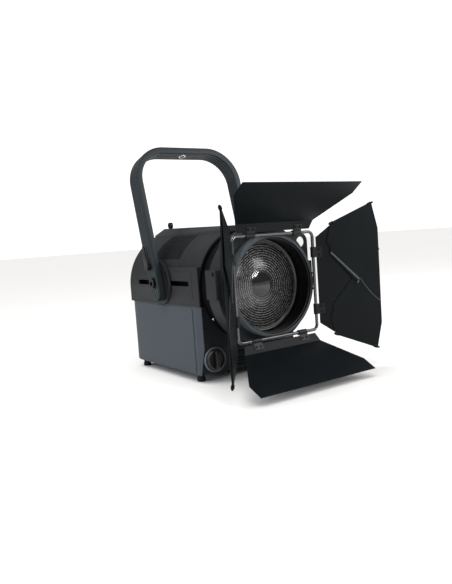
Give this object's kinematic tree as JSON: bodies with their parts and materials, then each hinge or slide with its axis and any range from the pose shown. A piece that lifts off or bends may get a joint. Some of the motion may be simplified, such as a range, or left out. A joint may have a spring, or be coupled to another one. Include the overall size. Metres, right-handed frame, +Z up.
{
  "type": "fresnel spotlight",
  "caption": "Stage fresnel spotlight with a round lens, four-leaf barn doors with folding flaps, a sliding tilting yoke and a box base with feet.",
  "frame": {"origin": "on the surface that the feet stand on, under the yoke's tilt axis, in the centre plane", "axes": "+Z up, the beam points along -Y, +X to the right seen from the front camera side looking along +Y"},
  "size_m": [0.4853, 0.5904, 0.5733],
  "materials": {
    "base_panel": "grey satin powder coat on sheet steel",
    "black_panel": "fine textured black powder coat on sheet steel",
    "housing": "textured dark grey powder coat on cast aluminium",
    "housing_cover": "satin black moulded plastic",
    "neck_black": "matte black anodised aluminium",
    "head": "textured black powder coat on cast aluminium",
    "leaf_black": "smooth satin black powder coat on sheet aluminium",
    "ring_black": "satin dark grey powder coat on spun aluminium",
    "rod_steel": "dark blackened steel rod",
    "clip_steel": "black zinc plated spring steel",
    "lens_glass": "clear pressed glass with stippled face",
    "barrel_black": "matte black inner barrel",
    "yoke": "satin dark grey powder coat on ribbed aluminium bar",
    "disc": "black anodised aluminium",
    "bolt_steel": "zinc plated steel",
    "knob_plastic": "black moulded plastic",
    "rubber": "black rubber",
    "steel": "ground steel",
    "heatsink": "plain extruded aluminium",
    "led": "white board with a phosphor emitter",
    "fan_plastic": "black moulded plastic",
    "board": "green circuit board",
    "display": "dark display window",
    "socket": "moulded plastic chassis socket",
    "button": "dark grey rubber"
  },
  "bodies": {
    "housing": {"base_pan": "black_panel", "side_panel_left": "base_panel", "side_panel_right": "base_panel", "base_front_panel": "black_panel", "rear_panel": "black_panel", "rubber_feet": "rubber", "case_screws": "bolt_steel", "side_casting_left": "housing", "side_casting_right": "housing", "mesh_inserts": "black_panel", "top_cover": "housing_cover", "rear_cap": "black_panel", "safety_eye": "bolt_steel", "neck_sleeve": "neck_black", "head_casting": "head", "accessory_frame": "head", "fresnel_lens": "lens_glass", "lens_ring": "ring_black", "lens_barrel": "barrel_black", "guide_rods": "steel", "screw_bearings": "steel", "power_supply": "heatsink", "control_board": "board", "display_window": "display", "power_sockets": "socket", "dmx_sockets": "socket", "fuse_holder": "knob_plastic"},
    "focus": {"focus_knob": "knob_plastic", "lead_screw": "steel"},
    "led_module": {"led_carriage": "heatsink", "led_heatsink": "heatsink", "led_array": "led", "fan_frame": "fan_plastic"},
    "fan": {"fan_rotor": "fan_plastic"},
    "balance": {"tilt_discs": "disc", "slide_blocks": "disc"},
    "yoke": {"yoke": "yoke", "pivot_bolts": "bolt_steel"},
    "tilt_lever": {"tilt_lock_lever": "knob_plastic"},
    "tilt_knob": {"tilt_lock_knob": "knob_plastic"},
    "menu_dial": {"menu_knob": "knob_plastic"},
    "key_menu": {"menu_button": "button"},
    "key_up": {"up_button": "button"},
    "key_down": {"down_button": "button"},
    "key_enter": {"enter_button": "button"},
    "barn_doors": {"barn_ring": "ring_black", "rod_frame": "rod_steel"},
    "top_leaf": {"leaf_top": "leaf_black", "hinge_clips_top": "clip_steel"},
    "bottom_leaf": {"leaf_bottom": "leaf_black", "hinge_clips_bottom": "clip_steel"},
    "left_leaf": {"leaf_left": "leaf_black", "hinge_clips_left": "clip_steel"},
    "right_leaf": {"leaf_right": "leaf_black", "hinge_clips_right": "clip_steel"},
    "flap_lu": {"flap_left_upper": "leaf_black"},
    "flap_ll": {"flap_left_lower": "leaf_black"},
    "flap_ru": {"flap_right_upper": "leaf_black"},
    "flap_rl": {"flap_right_lower": "leaf_black"},
    "latch": {"top_latch": "clip_steel"}
  },
  "joints": [
    {"name": "balance_slide", "type": "slide", "parent": "housing", "child": "balance", "axis": [0, 1, 0], "range_m": [-0.07, 0.1]},
    {"name": "yoke_tilt", "type": "hinge", "parent": "balance", "child": "yoke", "pos_m": [0, 0, 0.23], "axis": [1, 0, 0], "range_deg": [-100, 60]},
    {"name": "tilt_lever_turn", "type": "hinge", "parent": "yoke", "child": "tilt_lever", "pos_m": [0, 0.01016, 0.27075], "axis": [1, 0, 0], "range_deg": [-35, 90]},
    {"name": "tilt_knob_turn", "type": "hinge", "parent": "yoke", "child": "tilt_knob", "pos_m": [0, 0.01016, 0.27075], "axis": [1, 0, 0], "continuous": true},
    {"name": "focus_turn", "type": "hinge", "parent": "housing", "child": "focus", "pos_m": [-0.107, 0, 0.055], "axis": [0, 1, 0], "range_deg": [-495, 540]},
    {"name": "led_slide", "type": "slide", "parent": "housing", "child": "led_module", "axis": [0, 1, 0], "range_m": [-0.0551, 0.0601]},
    {"name": "fan_spin", "type": "hinge", "parent": "led_module", "child": "fan", "pos_m": [0, 0, 0.2162], "axis": [0, 1, 0], "continuous": true},
    {"name": "menu_turn", "type": "hinge", "parent": "housing", "child": "menu_dial", "pos_m": [-0.112, 0, 0.066], "axis": [0, 1, 0], "continuous": true},
    {"name": "menu_press", "type": "slide", "parent": "housing", "child": "key_menu", "axis": [0, -1, 0], "range_m": [0, 0.0015], "stiffness_N_per_m": 300},
    {"name": "up_press", "type": "slide", "parent": "housing", "child": "key_up", "axis": [0, -1, 0], "range_m": [0, 0.0015], "stiffness_N_per_m": 300},
    {"name": "down_press", "type": "slide", "parent": "housing", "child": "key_down", "axis": [0, -1, 0], "range_m": [0, 0.0015], "stiffness_N_per_m": 300},
    {"name": "enter_press", "type": "slide", "parent": "housing", "child": "key_enter", "axis": [0, -1, 0], "range_m": [0, 0.0015], "stiffness_N_per_m": 300},
    {"name": "barn_door_turn", "type": "hinge", "parent": "housing", "child": "barn_doors", "pos_m": [0, -0.2824, 0.2162], "axis": [0, 1, 0], "continuous": true},
    {"name": "top_leaf_hinge", "type": "hinge", "parent": "barn_doors", "child": "top_leaf", "pos_m": [0, -0.2824, 0.3299], "axis": [1, 0, 0], "range_deg": [-65, 83]},
    {"name": "bottom_leaf_hinge", "type": "hinge", "parent": "barn_doors", "child": "bottom_leaf", "pos_m": [0, -0.2824, 0.1025], "axis": [-1, 0, 0], "range_deg": [-73, 74.9]},
    {"name": "right_leaf_hinge", "type": "hinge", "parent": "barn_doors", "child": "right_leaf", "pos_m": [0.1137, -0.2824, 0.2162], "axis": [0, 0, 1], "range_deg": [-101.4, 33.6]},
    {"name": "left_leaf_hinge", "type": "hinge", "parent": "barn_doors", "child": "left_leaf", "pos_m": [-0.1137, -0.2824, 0.2162], "axis": [0, 0, -1], "range_deg": [-76.8, 58.2]},
    {"name": "left_upper_flap_hinge", "type": "hinge", "parent": "left_leaf", "child": "flap_lu", "pos_m": [-0.14169, -0.31371, 0.3436], "axis": [-0.6171, -0.6902, 0.378], "range_deg": [0, 100]},
    {"name": "left_lower_flap_hinge", "type": "hinge", "parent": "left_leaf", "child": "flap_ll", "pos_m": [-0.14169, -0.31371, 0.0888], "axis": [0.6171, 0.6902, 0.378], "range_deg": [0, 100]},
    {"name": "right_upper_flap_hinge", "type": "hinge", "parent": "right_leaf", "child": "flap_ru", "pos_m": [0.15219, -0.29922, 0.3436], "axis": [-0.8484, 0.3706, -0.378], "range_deg": [0, 100]},
    {"name": "right_lower_flap_hinge", "type": "hinge", "parent": "right_leaf", "child": "flap_rl", "pos_m": [0.15219, -0.29922, 0.0888], "axis": [0.8484, -0.3706, -0.378], "range_deg": [0, 100]},
    {"name": "latch_hinge", "type": "hinge", "parent": "housing", "child": "latch", "pos_m": [0, -0.2524, 0.3348], "axis": [-1, 0, 0], "range_deg": [0, 80]}
  ],
  "couplings": [
    {"joint": "led_slide", "follows": "focus_turn", "m_per_rad": 0.0063662}
  ]
}
